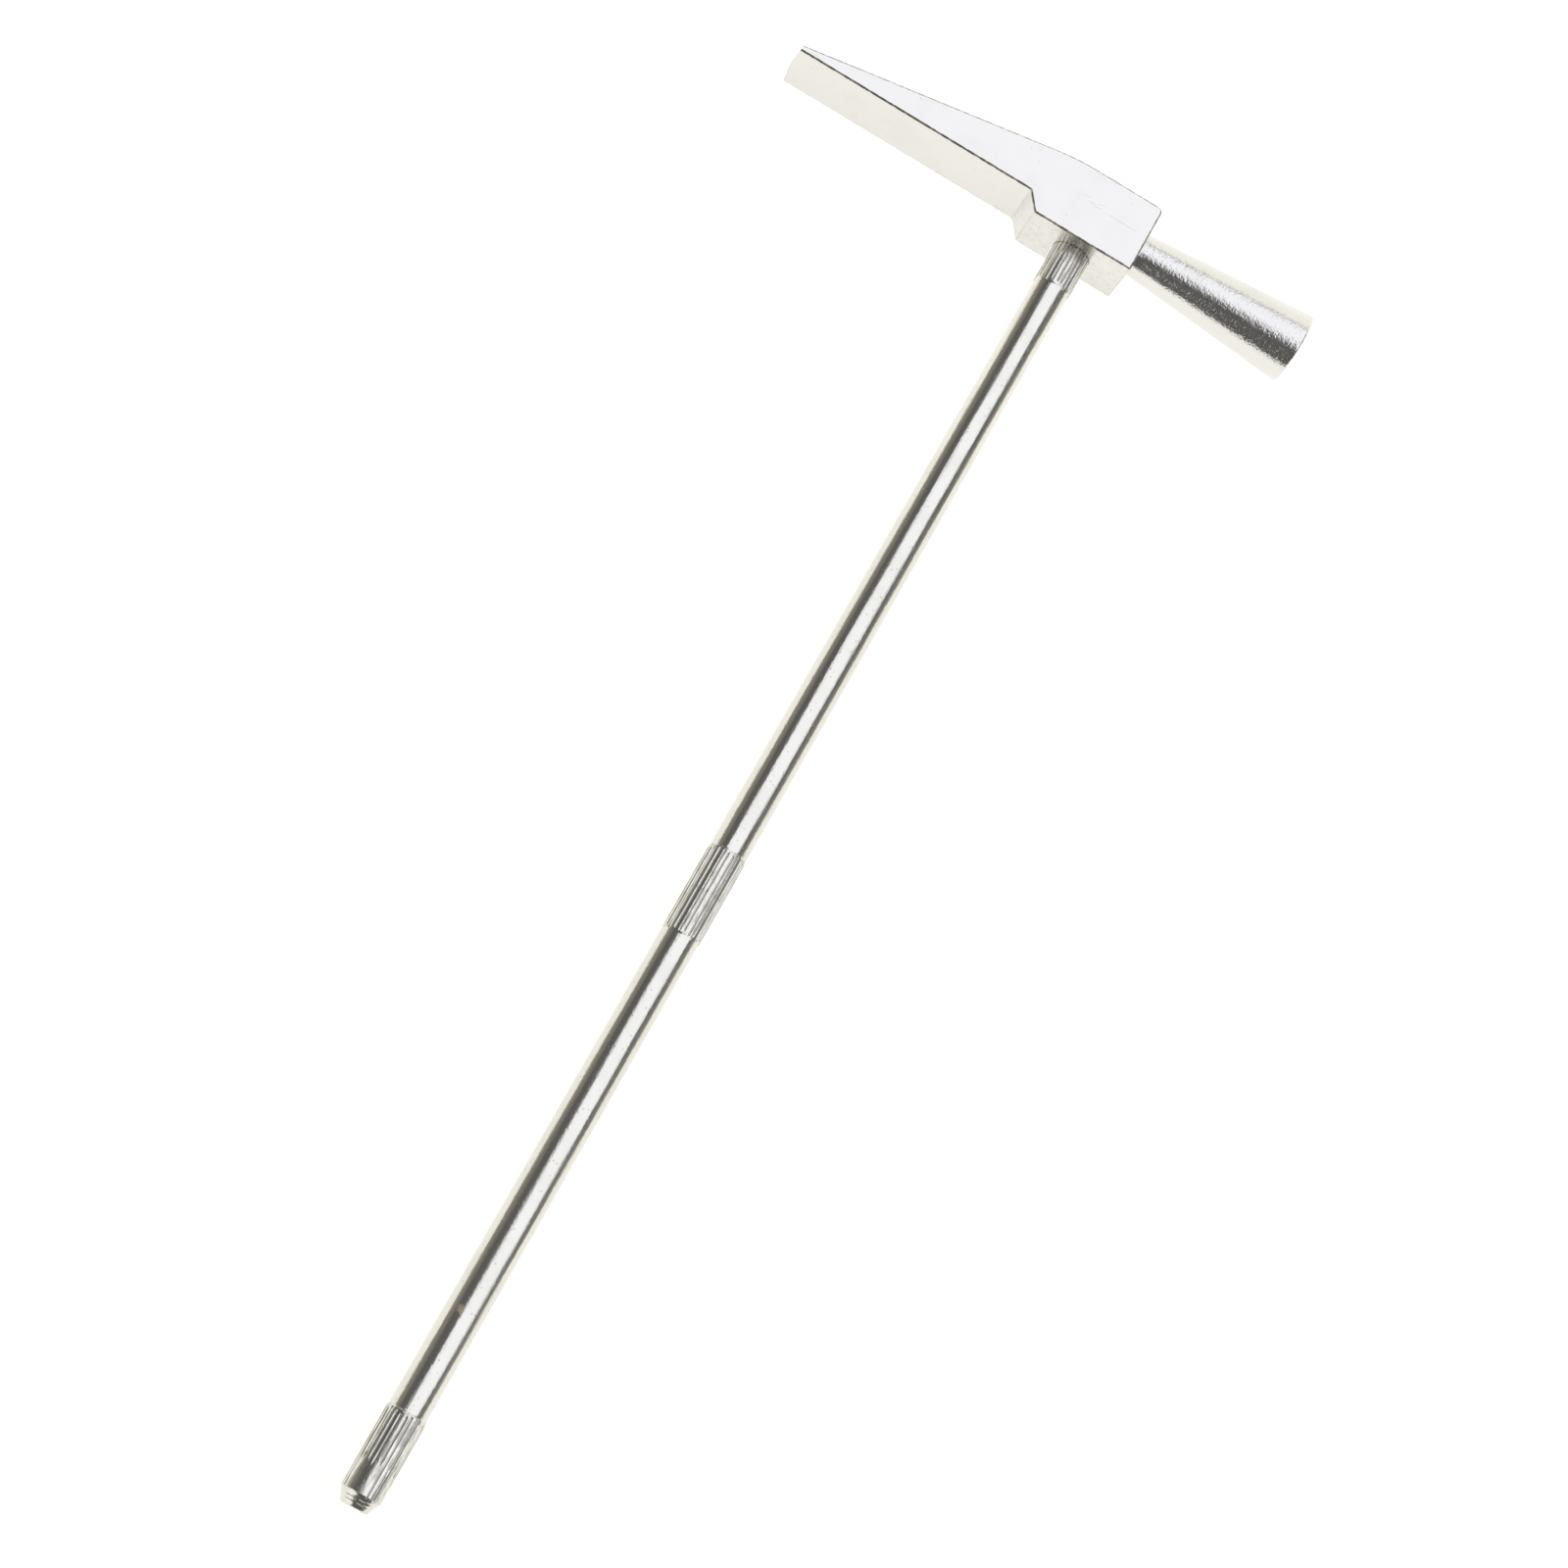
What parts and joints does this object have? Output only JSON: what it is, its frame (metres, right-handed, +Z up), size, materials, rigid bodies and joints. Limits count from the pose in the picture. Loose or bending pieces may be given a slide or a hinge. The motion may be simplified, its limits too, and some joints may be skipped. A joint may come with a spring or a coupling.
{
  "type": "cross peen hammer",
  "caption": "Small all-metal cross-peen hammer with a flared round poll and a slim, knurled take-down handle.",
  "frame": {"origin": "on the head's lower side face, right under the point where the head's axis and the handle's axis cross", "axes": "+X along the head towards the round striking face, +Y along the handle towards the head, +Z up from the side face that it lies on"},
  "size_m": [0.0614, 0.1555, 0.008],
  "materials": {
    "head_plating": "bright nickel plate over machined faces, fine scratches and turning marks",
    "rod_plating": "bright nickel plate, mirror smooth between straight knurls",
    "stud_steel": "plain steel thread"
  },
  "bodies": {
    "head_and_upper_handle": {"hammer_head": "head_plating", "upper_handle": "rod_plating"},
    "stud": {"joint_stud": "stud_steel"},
    "lower_rod": {"lower_handle": "rod_plating"}
  },
  "joints": [
    {"name": "thread_travel", "type": "slide", "parent": "head_and_upper_handle", "child": "stud", "axis": [0, -1, 0], "range_m": [0, 0.0054]},
    {"name": "lower_rod_turn", "type": "hinge", "parent": "stud", "child": "lower_rod", "pos_m": [0, -0.0843, 0.004], "axis": [0, -1, 0], "range_deg": [0, 4320]}
  ],
  "couplings": [
    {"joint": "lower_rod_turn", "follows": "thread_travel", "rad_per_m": 13963}
  ]
}
